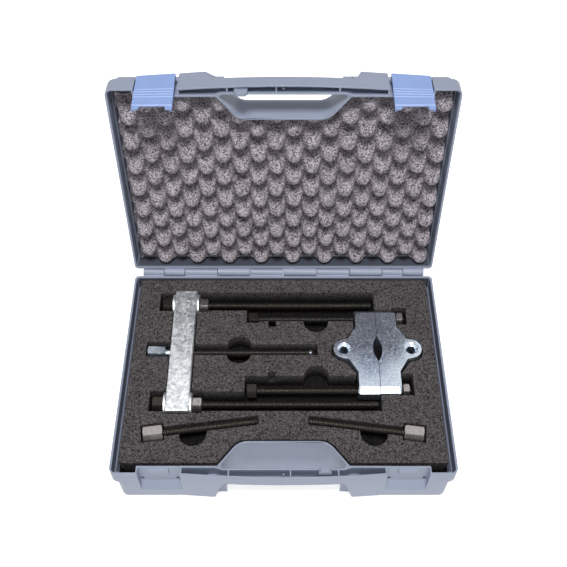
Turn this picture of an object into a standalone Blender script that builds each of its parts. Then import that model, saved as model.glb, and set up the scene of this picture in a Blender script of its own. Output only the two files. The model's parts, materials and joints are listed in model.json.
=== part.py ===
"""Ball joint and bearing separator set in its open carry case.

Lengths in this file are millimetres; every mesh is scaled to metres when it is made.
X runs to the right, Y to the back (hinge side) and Z up. The origin is the middle of
the case's underside. Both case halves come from one shell function: it draws a half
with its mouth at z = 0 and its outer plate at z = depth, and the base is that half
turned over.
"""
import math

import bmesh
import bpy
import numpy as np
from mathutils import Matrix, Vector

for old in list(bpy.data.objects):
    bpy.data.objects.remove(old, do_unlink=True)

MM = 0.001

# Case
CASE_HALF_W = 200.0
CASE_HALF_D = 142.0
BASE_H = 66.0
LID_H = 38.0
BAND_H = 24.0
BASE_BAR_H = 20.0
LID_BAR_H = 18.0
WALL = 2.7
THIN_WALL = 2.2
BASE_INSET = (5.5, 0.3)
LID_INSET = (4.0, 5.5)
RIM_GAP = 0.4
LID_OPEN_DEG = 96.7
HINGE_Y = 148.5
HINGE_Z = BASE_H + RIM_GAP / 2
KNUCKLE_R = 5.5
HINGE_BORE_R = 1.9
HINGE_PIN_R = 1.5
KNUCKLE_EDGES = (-189, -161, -133, -89, -45, 0, 45, 89, 133, 161, 189)
KNUCKLE_GAP = 0.5
FRONT_WALL_OUT = -133.5
FRONT_WALL_IN = -131.2
CORNER_X = 169.3
BOW = 4.7
BOW_HALF = 119.0
WELL = ((-76.1, -134.5), (76.1, -134.5), (51, -102.5), (-51, -102.5))
WELL_RADII = (4.0, 4.0, 19.0, 19.0)
BASE_WELL_DRAFT = 3.0
BAR_BACK = -136.6
HOLLOW_HALF = 61.8
CHANNEL_X = (64.0, 116.6)
CHANNEL_BACK = -133.6
CHANNEL_STEP = (70.0, 78.5)
RECESS_X = (119.0, 167.4)
FOOT_X = (78.0, 119.0)
FOOT_LEAN = 2.4

# Latches
LATCH_X = (121.8, 166.3)
LATCH_PIVOT = (-138.3, 20.5)
LATCH_TILT_DEG = 4.6
LATCH_LEN = 45.5
LATCH_LIFT = (0.8, 4.2)
PRONG_LEN = 5.5
PRONG_W = 9.0
LATCH_PIN_X = (117.2, 168.7)
LATCH_PIN_R = 1.5
LATCH_BORE_R = 1.9

# Foams
FOAM_TOP = 61.0
TRAY_BOTTOM = 36.6
FRONT_SEAM_Y = -50.0
LID_FOAM_BACK = LID_H - WALL - 0.3
LID_FOAM_PEAK = 2.6
LID_FOAM_VALLEY = 23.4
LID_FOAM_HALF_W = 192.3
LID_FOAM_REAR = 133.6
BUMP_PITCH_X = 42.75
BUMP_PITCH_Y = 35.25
BUMP_X = 12.8
BUMP_Y = HINGE_Y - 21.6

# Tools
TOOL_AXIS_Z = 52.0
BAR_X = (-143.2, -114.4)
BAR_Y_MID = 28.5
BAR_LEN = 178.0
BAR_THICK = 28.0
ROD_SPACING = 148.0
ROD_R = 5.0
SPINDLE_R = 6.0
SPINDLE_X = (-172.7, -149.8, 32.6)
HEAD_AF = 19.0
NUT_AF = 17.0
WASHER_R = 15.0
WASHER_T = 2.5
FIT = 0.3
JAW_X_MID = 119.0
JAW_Y_MID = 27.0
JAW_Z = (38.0, 52.0, 66.0)
JAW_LEVELS = (
    (38.0, 56.0, -0.6, 12.0),
    (45.0, 61.8, 1.0, 10.3),
    (59.2, 61.8, 1.0, 7.2),
    (66.0, 55.0, 0.0, 5.6),
)
TIE_OFFSET = 53.3
SCREW_Z = 57.0
SCREW_HEAD = (-154.8, -87.0)
SCREW_TIP = (-32.0, -70.7)


def material(name, color, metallic=0.0, roughness=0.5):
    """One Principled material for a node."""
    mat = bpy.data.materials.new(name)
    mat.use_nodes = True
    shader = mat.node_tree.nodes["Principled BSDF"]
    shader.inputs["Base Color"].default_value = (*color, 1.0)
    shader.inputs["Metallic"].default_value = metallic
    shader.inputs["Roughness"].default_value = roughness
    return mat


def solid(name, verts, faces):
    """A closed mesh object from millimetre points, with its faces turned outwards."""
    mesh = bpy.data.meshes.new(name)
    mesh.from_pydata((np.asarray(verts, float) * MM).tolist(), [], faces)
    bm = bmesh.new()
    bm.from_mesh(mesh)
    bmesh.ops.recalc_face_normals(bm, faces=bm.faces)
    bm.to_mesh(mesh)
    bm.free()
    obj = bpy.data.objects.new(name, mesh)
    bpy.context.scene.collection.objects.link(obj)
    return obj


def loft(name, rings):
    """Joins rings of equal point counts with quads and closes both ends."""
    count = len(rings[0])
    verts = np.concatenate([np.asarray(r, float) for r in rings])
    faces = [list(range(count))[::-1]]
    for k in range(len(rings) - 1):
        a, b = k * count, (k + 1) * count
        faces += [[a + i, a + (i + 1) % count, b + (i + 1) % count, b + i] for i in range(count)]
    last = (len(rings) - 1) * count
    faces.append([last + i for i in range(count)])
    return solid(name, verts, faces)


def at_z(outline, z):
    """Lifts a plan outline to height z."""
    outline = np.asarray(outline, float)
    return np.column_stack([outline, np.full(len(outline), float(z))])


def prism(outline, z0, z1, name="tool"):
    """An upright prism of a plan outline."""
    return loft(name, [at_z(outline, z0), at_z(outline, z1)])


def box(x, y, z, name="tool"):
    """A box from three (low, high) pairs."""
    outline = [(x[0], y[0]), (x[1], y[0]), (x[1], y[1]), (x[0], y[1])]
    return prism(outline, z[0], z[1], name)


def along_x(outline, x0, x1, name="tool"):
    """A prism of a (y, z) outline running along X."""
    outline = np.asarray(outline, float)
    rings = [np.column_stack([np.full(len(outline), x), outline]) for x in (x0, x1)]
    return loft(name, rings)


def circle(centre, radius, count=16):
    """Points of a circle in a plane."""
    angle = np.arange(count) * 2 * math.pi / count + math.pi / count
    return np.column_stack([centre[0] + radius * np.cos(angle), centre[1] + radius * np.sin(angle)])


def rod_x(x0, x1, y, z, radius, count=16, name="tool", chamfer=0.0):
    """A round bar along X, with an optional chamfer at both ends."""
    spans = [(x0, radius), (x1, radius)]
    if chamfer:
        spans = [(x0, radius - chamfer), (x0 + chamfer, radius)]
        spans += [(x1 - chamfer, radius), (x1, radius - chamfer)]
    rings = []
    for x, r in spans:
        ring = circle((y, z), r, count)
        rings.append(np.column_stack([np.full(count, x), ring]))
    return loft(name, rings)


def hex_x(x0, x1, y, z, across, name="tool", chamfer=1.2):
    """A hexagon prism along X with a corner up and chamfered ends."""
    corner = across / math.sqrt(3.0)
    angle = np.arange(6) * math.pi / 3 + math.pi / 2
    rise = chamfer * 0.6
    spans = ((x0, corner - chamfer), (x0 + rise, corner), (x1 - rise, corner), (x1, corner - chamfer))
    rings = []
    for x, r in spans:
        rings.append(np.column_stack([np.full(6, x), y + r * np.cos(angle), z + r * np.sin(angle)]))
    return loft(name, rings)


def fillet(points, radii, steps=4):
    """Rounds the corners of a plan polygon; radii holds one radius per corner."""
    points = np.asarray(points, float)
    count = len(points)
    out = []
    for i in range(count):
        here, before, after = points[i], points[i - 1], points[(i + 1) % count]
        u = (before - here) / np.linalg.norm(before - here)
        v = (after - here) / np.linalg.norm(after - here)
        half = math.acos(float(np.clip(u @ v, -1, 1))) / 2
        reach = radii[i] / math.tan(half)
        start, end = here + u * reach, here + v * reach
        bisector = (u + v) / np.linalg.norm(u + v)
        centre = here + bisector * radii[i] / math.sin(half)
        a0 = math.atan2(*(start - centre)[::-1])
        a1 = math.atan2(*(end - centre)[::-1])
        turn = (a1 - a0 + math.pi) % (2 * math.pi) - math.pi
        for k in range(steps + 1):
            a = a0 + turn * k / steps
            out.append(centre + radii[i] * np.array([math.cos(a), math.sin(a)]))
    return np.array(out)


def grow(outline, distance):
    """Moves each edge of a counter-clockwise outline outwards by distance."""
    p = np.asarray(outline, float)
    edge = np.roll(p, -1, axis=0) - p
    edge /= np.linalg.norm(edge, axis=1)[:, None]
    normal = np.column_stack([edge[:, 1], -edge[:, 0]])
    before = np.roll(normal, 1, axis=0)
    total = before + normal
    scale = 2.0 / (total * total).sum(axis=1)
    return p + total * (scale * distance)[:, None]


def boolean(target, tool, operation):
    """Applies one exact Boolean and removes the tool."""
    mod = target.modifiers.new("step", "BOOLEAN")
    mod.operation = operation
    mod.solver = "EXACT"
    mod.object = tool
    graph = bpy.context.evaluated_depsgraph_get()
    graph.update()
    mesh = bpy.data.meshes.new_from_object(target.evaluated_get(graph))
    target.modifiers.clear()
    target.data = mesh
    bpy.data.objects.remove(tool, do_unlink=True)
    return target


def cut(target, *tools):
    """Takes each tool away from the target."""
    for tool in tools:
        boolean(target, tool, "DIFFERENCE")
    return target


def fuse(target, *tools):
    """Adds each tool to the target as one solid."""
    for tool in tools:
        boolean(target, tool, "UNION")
    return target


def finish(obj, mat, origin=None, matrix=None):
    """Places the mesh, moves the origin to a point in millimetres and sets the material."""
    if matrix is not None:
        obj.data.transform(matrix)
    bm = bmesh.new()
    bm.from_mesh(obj.data)
    bmesh.ops.remove_doubles(bm, verts=bm.verts, dist=0.00001)
    bmesh.ops.dissolve_degenerate(bm, edges=bm.edges, dist=0.00001)
    bmesh.ops.recalc_face_normals(bm, faces=bm.faces)
    bm.to_mesh(obj.data)
    bm.free()
    if origin is not None:
        point = Vector(origin) * MM
        obj.data.transform(Matrix.Translation(-point))
        obj.location = point
    obj.data.materials.clear()
    obj.data.materials.append(mat)
    obj.data.name = obj.name
    return obj


def rect(half_x, front, back):
    """A plan rectangle, counter-clockwise from its front left corner."""
    return [(-half_x, front), (half_x, front), (half_x, back), (-half_x, back)]


def bow_front(x):
    """The Y of the rim's front edge, which bows out between the latches."""
    return -CASE_HALF_D - BOW * (1 - (np.asarray(x, float) / BOW_HALF) ** 2)


def rim_outline(side=0.0, front=0.0, rear_round=5.0):
    """The case in plan: a rounded rectangle, set in by side and front, bowed in front."""
    steps = 5
    plan = rect(CASE_HALF_W - side, -CASE_HALF_D + front, CASE_HALF_D - side)
    corners = fillet(plan, (9, 9, rear_round, rear_round), steps)
    x = np.linspace(-BOW_HALF, BOW_HALF, 15)
    bow = np.column_stack([x, bow_front(x) + front])
    return np.vstack([corners[:steps + 1], bow, corners[steps + 1:]])


def hollow_outline(x0, x1, back):
    """The inside of the bowed front strip from x0 to x1; back holds its rear points."""
    x = np.linspace(x0, x1, 9)
    front = np.column_stack([x, bow_front(x) + THIN_WALL])
    return np.vstack([front, back])


def front_hollows():
    """Plan outlines of the handle's hollow and of the channels beside it."""
    near, far = CHANNEL_X
    turn, straight = CHANNEL_STEP
    rear = [(far, CHANNEL_BACK), (straight, CHANNEL_BACK), (turn, BAR_BACK), (near, BAR_BACK)]
    mirrored = [(-x, y) for x, y in rear[::-1]]
    return (
        hollow_outline(-HOLLOW_HALF, HOLLOW_HALF, [(HOLLOW_HALF, BAR_BACK), (-HOLLOW_HALF, BAR_BACK)]),
        hollow_outline(near, far, rear),
        hollow_outline(-far, -near, mirrored),
    )


def well_side(gap, y):
    """Half width at y of the finger well grown by gap, along its slanted side."""
    low, high = grow(WELL, gap)[1:3]
    return low[0] + (high[0] - low[0]) * (y - low[1]) / (high[1] - low[1])


def cavity_outline(half_x, corner_front, back):
    """The inside of a case half: corner pockets, set-back front wall and the well's bulge."""
    well = grow(WELL, THIN_WALL)
    foot = well_side(THIN_WALL, FRONT_WALL_IN)
    points = [
        (-half_x, corner_front), (-CORNER_X, corner_front), (-CORNER_X, FRONT_WALL_IN),
        (-foot, FRONT_WALL_IN), tuple(well[3]), tuple(well[2]), (foot, FRONT_WALL_IN),
        (CORNER_X, FRONT_WALL_IN), (CORNER_X, corner_front),
        (half_x, corner_front), (half_x, back), (-half_x, back),
    ]
    round_well = WELL_RADII[2] + THIN_WALL
    return fillet(points, (5, 1, 1, 2, round_well, round_well, 2, 1, 1, 5, 4, 4), 4)


def knuckle_outline():
    """A hinge knuckle's (y, z) outline: a barrel with a web to the back wall."""
    angle = np.radians(np.arange(182, 451, 22.333))
    y = HINGE_Y + KNUCKLE_R * np.cos(angle)
    z = -RIM_GAP / 2 + KNUCKLE_R * np.sin(angle)
    web = CASE_HALF_D - 2.2
    return [(web, 0.3), *zip(y, z), (web, KNUCKLE_R - RIM_GAP / 2)]


def mirror_pair(x):
    """The same (low, high) span on the left and on the right."""
    return ((-x[1], -x[0]), (x[0], x[1]))


def slab_x(outline, y0, y1, name="tool"):
    """A prism of an (x, z) outline running along Y."""
    return loft(name, [[(x, y, z) for x, z in outline] for y in (y0, y1)])


def outer_form(name, depth, inset, feet):
    """A case half as a full block: the rim band, the body and, on the lid, the two front feet."""
    rim = rim_outline()
    band = ((0, 0), (BAND_H - 4, 0), (BAND_H - 1.2, -1.2), (BAND_H, -4))
    half = loft(name, [at_z(grow(rim, g), z) for z, g in band])
    core = rim_outline(*inset, rear_round=7.0)
    draft = -0.025 * (depth - BAND_H)
    steps = ((BAND_H - 5, 0), (depth - 5, draft), (depth - 1.5, draft - 1.5), (depth, draft - 5))
    fuse(half, loft("body", [at_z(grow(core, g), z) for z, g in steps]))
    if feet:
        levels = ((BAND_H - 8, -142.8), (depth - 3, -142.1), (depth - 1, -141.4), (depth, -139.8))
        for x0, x1 in mirror_pair(FOOT_X):
            x = np.linspace(x0, x1, 5)
            lean = FOOT_LEAN * np.clip((np.abs(x) - 90.0) / (FOOT_X[1] - 90.0), 0, 1)
            rear = [(x1, FRONT_WALL_OUT), (x0, FRONT_WALL_OUT)]
            rings = [at_z(np.vstack([np.column_stack([x, y + lean]), rear]), z) for z, y in levels]
            fuse(half, loft("foot", rings))
    return half


def hollow_out(half, depth, inset):
    """Cuts the main cavity of a case half."""
    side, front = inset
    draft = -0.025 * (depth - BAND_H)
    low = CASE_HALF_W - side - WALL
    low_front = -CASE_HALF_D + front + WALL
    low_back = CASE_HALF_D - side - WALL
    upper = cavity_outline(CASE_HALF_W - WALL, -CASE_HALF_D + WALL, CASE_HALF_D - WALL)
    mid = cavity_outline(low, low_front, low_back)
    deep = cavity_outline(low + draft, low_front - draft, low_back + draft)
    rings = [at_z(upper, -2), at_z(upper, BAND_H - 3.5), at_z(mid, BAND_H - 1.5), at_z(deep, depth - WALL)]
    cut(half, loft("cavity", rings))


def cut_handle(half, depth, bar_h, notch, well_draft):
    """Cuts the finger well, the gap under the handle bar and the hollows of the front strip."""
    shrunk = np.array(WELL, float)
    shrunk[2:4] += ((-well_draft / 2, -well_draft), (well_draft / 2, -well_draft))
    over = 3.0
    rings = [at_z(fillet(WELL, WELL_RADII, 4), -over), at_z(fillet(shrunk, WELL_RADII, 4), depth + over)]
    cut(half, loft("well", rings))
    slot = [(-notch[0], bar_h), (notch[0], bar_h), (notch[1], depth + over), (-notch[1], depth + over)]
    cut(half, slab_x(slot, -160.0, FRONT_WALL_OUT - 1.0))
    floor = bar_h - 2.5
    for outline in front_hollows():
        cut(half, prism(outline, -over, floor))
    for x in mirror_pair((notch[1] + 4.0, CHANNEL_X[1])):
        cut(half, box(x, (-138.2, CHANNEL_BACK), (floor - 5.0, depth - 3.0)))


def add_bar_details(half, bar_h):
    """The rib, the peg and the tongue inside the hollow handle bar."""
    floor = bar_h - 2.0
    rib_x, tongue_x = -8.0, (-55.0, -40.0)
    fuse(half, box((rib_x - 0.9, rib_x + 0.9), (-144.6, BAR_BACK + 0.5), (1.5, floor)))
    fuse(half, rod_z(0.0, -140.5, 3.0, floor, 1.5))
    x0, x1 = tongue_x
    tip = -8.0
    tongue = [(x0, floor), (x0, tip + 3), (x0 + 3, tip), (x1 - 3, tip), (x1, tip + 3), (x1, floor)]
    fuse(half, slab_x(tongue, -142.3, -137.3))


def shell(name, depth, inset, notch, well_draft, lid):
    """One half of the case, mouth down at z = 0 and outer plate at z = depth."""
    half = outer_form(name, depth, inset, lid)
    hollow_out(half, depth, inset)
    bar_h = LID_BAR_H if lid else BASE_BAR_H
    cut_handle(half, depth, bar_h, notch, well_draft)
    flat_end, slope_end, slope_y = (28.0, 33.5, -137.5) if lid else (33.0, 46.0, -142.5)
    wall_y, clear_y = FRONT_WALL_OUT, -160.0
    recess = [(clear_y, -3), (wall_y, -3), (wall_y, flat_end), (slope_y, slope_end), (clear_y, slope_end)]
    for x0, x1 in mirror_pair(RECESS_X):
        cut(half, along_x(recess, x0, x1))
    add_bar_details(half, bar_h)
    for k in range(1, 10, 2):
        x0, x1 = KNUCKLE_EDGES[k] + KNUCKLE_GAP / 2, KNUCKLE_EDGES[k + 1] - KNUCKLE_GAP / 2
        fuse(half, along_x(knuckle_outline(), x0, x1))
    cut(half, rod_x(-196, 196, HINGE_Y, -RIM_GAP / 2, HINGE_BORE_R, 12))
    if lid:
        for x0, x1 in mirror_pair((CHANNEL_X[1] - 1.5, CORNER_X + 1.5)):
            cut(half, rod_x(x0, x1, *LATCH_PIVOT, LATCH_BORE_R, 12))
        return half
    for x0, x1 in mirror_pair(LATCH_X):
        for a, b in ((x0 - 0.6, x0 + 3.2), (x1 - 3.2, x1 + 0.6)):
            cut(half, box((a, b), (-136, -129), (25.8, 32.0)))
        mid_x = (x0 + x1) / 2
        root = FRONT_WALL_OUT + 0.6
        crest = FRONT_WALL_OUT - 2.1
        bump = [(root, 16), (crest, 13.5), (crest, 4.5), (root, 2)]
        fuse(half, along_x(bump, mid_x - 11.5, mid_x + 11.5))
    return half


def rod_z(x, y, z0, z1, radius, count=10, name="tool"):
    """A round post along Z."""
    return prism(circle((x, y), radius, count), z0, z1, name)


def lid_matrix():
    """Takes the drawn half to the closed lid and swings it open about the hinge."""
    closed = Matrix.Translation(Vector((0, 0, (BASE_H + RIM_GAP) * MM)))
    pivot = Vector((0, HINGE_Y, HINGE_Z)) * MM
    swing = Matrix.Rotation(math.radians(-LID_OPEN_DEG), 4, "X")
    return Matrix.Translation(pivot) @ swing @ Matrix.Translation(-pivot) @ closed


def base_matrix():
    """Turns the drawn half over, mouth up, onto the ground."""
    return Matrix.Translation(Vector((0, 0, BASE_H * MM))) @ Matrix.Rotation(math.pi, 4, "Y")


def lid_point(x, y, z):
    """Where a point of the drawn half lies on the open lid, in millimetres."""
    return tuple((lid_matrix() @ (Vector((x, y, z)) * MM)) / MM)


def latch(name, x0, x1):
    """A flap latch on the drawn lid: barrel, ribbed plate and two pronged corners."""
    tilt = math.radians(LATCH_TILT_DEG)
    py, pz = LATCH_PIVOT
    end = LATCH_LEN
    tip = LATCH_LEN + PRONG_LEN

    def place(points):
        """Maps (outwards, towards the base) pairs to (y, z)."""
        turned = []
        for n, t in points:
            y = py - n * math.cos(tilt) + t * math.sin(tilt)
            z = pz - t * math.cos(tilt) - n * math.sin(tilt)
            turned.append((y, z))
        return turned

    ribs = []
    for k in range(4):
        t = 17.0 + 4.2 * k
        ribs += [(3.3, t), (3.9, t + 0.8), (3.9, t + 2.0), (3.3, t + 2.8)]
    outer = [(2.7, -6.4), (3.3, -5.2), *ribs, (3.3, end - 1.2), (2.4, end)]
    rings = []
    for x in (x0, x1):
        inward = (LATCH_X[1] - abs(x)) / (LATCH_X[1] - LATCH_X[0])
        lift = LATCH_LIFT[0] + (LATCH_LIFT[1] - LATCH_LIFT[0]) * inward
        raised = [(n + lift * (end - t) / (end + 6.4), t) for n, t in outer]
        rings.append([(x, y, z) for y, z in place([(0.6, end), (0.6, -5.2), (1.4, -6.4), *raised])])
    obj = loft(name, rings)
    fuse(obj, along_x(circle(LATCH_PIVOT, 3.3, 16), x0, x1))
    prong = place([(0.7, end - 2.0), (2.3, end - 2.0), (2.0, tip), (0.7, tip)])
    barb = place([(0.9, tip - 3.6), (1.4, tip - 0.2), (-2.0, tip - 0.8), (-2.0, tip - 2.2)])
    skirt = place([(0.9, 6.0), (0.9, end - 6), (-1.0, end - 8), (-1.6, 8.0)])
    for edge, way in ((x0, 1.0), (x1, -1.0)):
        wide, narrow = edge + way * PRONG_W, edge + way * (PRONG_W - 2.0)
        near = [(edge, y, z) for y, z in prong]
        far = [(wide if i < 2 else narrow, y, z) for i, (y, z) in enumerate(prong)]
        fuse(obj, loft("prong", [near, far]))
        fuse(obj, along_x(barb, edge, edge + way * 2.6))
        fuse(obj, along_x(skirt, edge, edge + way * 1.6))
    cut(obj, rod_x(x0 - 2, x1 + 2, *LATCH_PIVOT, LATCH_BORE_R, 12))
    return obj


def foam_outline(half_x, front, back, well_gap):
    """The base foam in plan, with its notch round the finger well."""
    well = grow(WELL, THIN_WALL + well_gap)
    foot = well_side(THIN_WALL + well_gap, front)
    points = [
        (-half_x, front), (-foot, front), tuple(well[3]), tuple(well[2]),
        (foot, front), (half_x, front), (half_x, back), (-half_x, back),
    ]
    return fillet(points, (3, 3, 22, 22, 3, 3, 3, 3), 4)


def stadium(x, y0, y1, radius, steps=7):
    """A plan slot with round ends, from y0 to y1."""
    a = np.linspace(0, math.pi, steps)
    top = np.column_stack([x + radius * np.cos(a), y1 - radius + radius * np.sin(a)])
    low = np.column_stack([x - radius * np.cos(a), y0 + radius - radius * np.sin(a)])
    return np.vstack([top, low])


def thumb_cut(x, front, back, radius, steps=9):
    """A plan slot with a round front end and a square back end."""
    a = np.linspace(math.pi, 2 * math.pi, steps)
    arc = np.column_stack([x + radius * np.cos(a), front + radius + radius * np.sin(a)])
    return np.vstack([arc, [(x + radius, back), (x - radius, back)]])


def screw_frame(side):
    """Axis data of a short screw: head centre, tip and its unit direction, mirrored by side."""
    head = np.array([SCREW_HEAD[0] * side, SCREW_HEAD[1]])
    tip = np.array([SCREW_TIP[0] * side, SCREW_TIP[1]])
    way = (tip - head) / np.linalg.norm(tip - head)
    return head, tip, way


def strip(start, end, half_width):
    """A plan rectangle along a line."""
    way = (end - start) / np.linalg.norm(end - start)
    across = np.array([-way[1], way[0]]) * half_width
    return [start - across, end - across, end + across, start + across]


def jaw_outline(side, end, widen, lens, seam=FIT):
    """One separator half in plan, counter-clockwise; side is -1 for left and 1 for right."""
    a = np.radians(np.linspace(-78, 78, 9))
    lobe = np.column_stack([42.3 + (13.4 + widen) * np.cos(a), (13.4 + widen) * np.sin(a)])
    s = np.linspace(-1, 1, 9)
    slit = np.column_stack([seam + lens * (1 - s[::-1] ** 2), 18.5 * s[::-1]])
    outer = [(26 + widen, -end + 2), (26 + widen, -33.0), (37.0 + widen, -15.0 - widen)]
    mirrored = [(x, -y) for x, y in outer[::-1]]
    front = [(seam, -end), (24 + widen, -end)]
    rear = [(24 + widen, end), (seam, end)]
    points = [*front, *outer, *lobe, *mirrored, *rear, *slit]
    points = np.array(points) * (side, 1) + (JAW_X_MID, JAW_Y_MID)
    return points if side > 0 else points[::-1]


def jaw(name, side):
    """A forged separator half: widest at mid height, wedge-shaped at the opening."""
    rings = []
    for z, end, widen, lens in JAW_LEVELS:
        rings.append(at_z(jaw_outline(side, end, widen, lens), z))
    obj = loft(name, rings)
    x0, x1 = (JAW_X_MID - 60, JAW_X_MID + 60)
    for dy in (TIE_OFFSET, -TIE_OFFSET):
        cut(obj, rod_x(x0, x1, JAW_Y_MID + dy, TOOL_AXIS_Z, ROD_R + FIT + 0.2, 16))
    hole = (JAW_X_MID + side * 42.3, JAW_Y_MID)
    cut(obj, prism(circle(hole, 5.2, 20), JAW_Z[0] - 5, JAW_Z[2] + 5))
    sink = ((5.2, JAW_Z[2] - 3.2), (8.4, JAW_Z[2]), (8.4, JAW_Z[2] + 3))
    cut(obj, loft("sink", [at_z(circle(hole, r, 20), z) for r, z in sink]))
    return obj


def bump_lattice(name):
    """A slab whose mouth side is a lattice of bumps, larger than the lid.

    Heights follow cos(2 pi x / pitch) times cos(2 pi y / pitch): peaks and hollows
    alternate on a half-pitch lattice, with a saddle point in each lattice cell.
    """
    hx, hy = BUMP_PITCH_X / 2, BUMP_PITCH_Y / 2
    first_i, last_i = math.floor((-CASE_HALF_W - BUMP_X) / hx), math.ceil((CASE_HALF_W - BUMP_X) / hx)
    first_j, last_j = math.floor((-CASE_HALF_D - BUMP_Y) / hy), math.ceil((CASE_HALF_D - BUMP_Y) / hy)
    nx, ny = last_i - first_i, last_j - first_j
    xs = BUMP_X + hx * np.arange(first_i, last_i + 1)
    ys = BUMP_Y + hy * np.arange(first_j, last_j + 1)
    i, j = np.meshgrid(np.arange(nx + 1), np.arange(ny + 1), indexing="ij")
    peak = (i + first_i + j + first_j) % 2 == 0
    level = np.where(peak, LID_FOAM_PEAK, LID_FOAM_VALLEY)
    mid = (LID_FOAM_PEAK + LID_FOAM_VALLEY) / 2
    grid = np.column_stack([xs[i].ravel(), ys[j].ravel(), level.ravel()])
    cx, cy = np.meshgrid((xs[1:] + xs[:-1]) / 2, (ys[1:] + ys[:-1]) / 2, indexing="ij")
    centres = np.column_stack([cx.ravel(), cy.ravel(), np.full(cx.size, mid)])
    index = np.arange(len(grid)).reshape(nx + 1, ny + 1)
    centre = len(grid) + np.arange(nx * ny).reshape(nx, ny)
    faces = []
    for a in range(nx):
        for b in range(ny):
            ring = [index[a, b], index[a + 1, b], index[a + 1, b + 1], index[a, b + 1]]
            faces += [[int(ring[k]), int(ring[(k + 1) % 4]), int(centre[a, b])] for k in range(4)]
    loop = [(a, 0) for a in range(nx)] + [(nx, b) for b in range(ny)]
    loop += [(a, ny) for a in range(nx, 0, -1)] + [(0, b) for b in range(ny, 0, -1)]
    rim = np.array([grid[index[p]] for p in loop])
    rim[:, 2] = LID_FOAM_BACK
    low = [int(index[p]) for p in loop]
    high = [len(grid) + nx * ny + k for k in range(len(loop))]
    for k in range(len(loop)):
        after = (k + 1) % len(loop)
        faces.append([low[k], low[after], high[after], high[k]])
    faces.append(high)
    return solid(name, np.vstack([grid, centres, rim]), faces)


def egg_crate(name):
    """The lid foam on the drawn lid: the bump lattice trimmed to the lid's inside."""
    obj = bump_lattice(name)
    well = grow(WELL, THIN_WALL + 1.2)
    front, corner = FRONT_WALL_IN + 1.0, -CASE_HALF_D + LID_INSET[1] + WALL + 2.0
    half, rear, step = LID_FOAM_HALF_W, LID_FOAM_REAR, CORNER_X + 1.5
    foot = well_side(THIN_WALL + 1.2, front)
    plan = [
        (-half, corner), (-step, corner), (-step, front), (-foot, front), tuple(well[3]),
        tuple(well[2]), (foot, front), (step, front), (step, corner), (half, corner),
        (half, rear), (-half, rear),
    ]
    trim = prism(fillet(plan, (4, 1, 1, 2, 21, 21, 2, 1, 1, 4, 3, 3), 3), -10, LID_H + 10)
    return boolean(obj, trim, "INTERSECT")


def foam_floor(name):
    """The plain lower foam layer that fills the bottom of the base."""
    half = CASE_HALF_W - BASE_INSET[0] - WALL - 3.2
    rear = CASE_HALF_D - BASE_INSET[0] - WALL - 1.2
    plan = foam_outline(half, -126.3, rear, 3.6)
    return prism(plan, WALL + FIT, TRAY_BOTTOM - FIT, name)


def tray_pockets():
    """The square pockets of the die-cut layer as (x span, y span, floor height)."""
    through = TRAY_BOTTOM - 5.0
    upper, lower = BAR_Y_MID + ROD_SPACING / 2, BAR_Y_MID - ROD_SPACING / 2
    tie_up, tie_low = JAW_Y_MID + TIE_OFFSET, JAW_Y_MID - TIE_OFFSET
    washer_gap = WASHER_R + 0.6
    pockets = [
        ((-145.0, -112.6), (-62.5, 119.5), through),
        ((-163.5, -143.0), (upper - 14.5, upper + 14.5), through),
        ((-163.5, -143.0), (lower - 13.6, lower + 14.5), through),
        ((-113.5, 119.5), (upper - 13.4, upper + 15.5), through),
        ((-113.5, 119.5), (lower - 13.2, lower + 13.4), through),
        ((-174.5, -143.0), (18.0, 40.0), through),
        ((-113.5, 43.2), (20.6, 36.4), 41.4),
        ((-48.0, 93.0), (tie_up - 8.3, tie_up + 12.0), through),
        ((-48.0, -31.0), (tie_up - 10.8, tie_up + 11.5), through),
        ((-48.0, 93.0), (tie_low - 12.0, tie_low + 16.5), through),
        ((142.0, 160.5), (tie_up - 13.8, tie_up + 13.0), through),
        ((142.0, 160.5), (tie_low - 10.8, tie_low + 20.0), through),
        ((-19.5, -10.0), (63.5, 76.0), 45.4),
        ((-19.5, -10.0), (-24.0, -4.0), 45.4),
    ]
    for y in (upper, lower):
        pockets.append(((-146.6, -142.0), (y - washer_gap, y + washer_gap), through))
        pockets.append(((-115.5, -98.6), (y - washer_gap, y + washer_gap), through))
    return pockets


def foam_tray(name):
    """The die-cut upper foam layer with a pocket for every tool and the finger holes."""
    low = CASE_HALF_W - BASE_INSET[0] - WALL - 3.2
    rear = CASE_HALF_D - BASE_INSET[0] - WALL - 1.2
    step = BASE_H - BAND_H
    inner = foam_outline(low, -126.3, rear, 3.6)
    outer = foam_outline(191.2, -125.6, 138.4, 4.0)
    levels = ((inner, TRAY_BOTTOM), (inner, step + 1.0), (outer, step + 5.5), (outer, FOAM_TOP))
    obj = loft(name, [at_z(plan, z) for plan, z in levels])
    top, through = FOAM_TOP + 5, TRAY_BOTTOM - 5
    for x, y, floor in tray_pockets():
        cut(obj, box(x, y, (floor, top)))
    for side in (-1, 1):
        cut(obj, prism(jaw_outline(side, 63.4, 2.6, -1.0, -1.0), through, top))
    holes = ((-56.5, 8.0, 48.8, 15.9), (42.0, 54.8, 96.0, 15.9), (41.0, -36.0, 5.2, 15.7))
    for x, y0, y1, r in holes:
        cut(obj, prism(stadium(x, y0, y1, r), through, top))
    for side in (-1, 1):
        head, tip, way = screw_frame(side)
        cut(obj, prism(strip(head - way * 14.5, head + way * 13.2, 11.6), SCREW_Z - 11.6, top))
        cut(obj, prism(strip(head + way * 11.0, tip + way * 2.5, 6.2), SCREW_Z - 6.2, top))
        cut(obj, prism(thumb_cut(107.5 * side, -104.8, -77.0, 16.6), through, top))
    return obj


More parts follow.
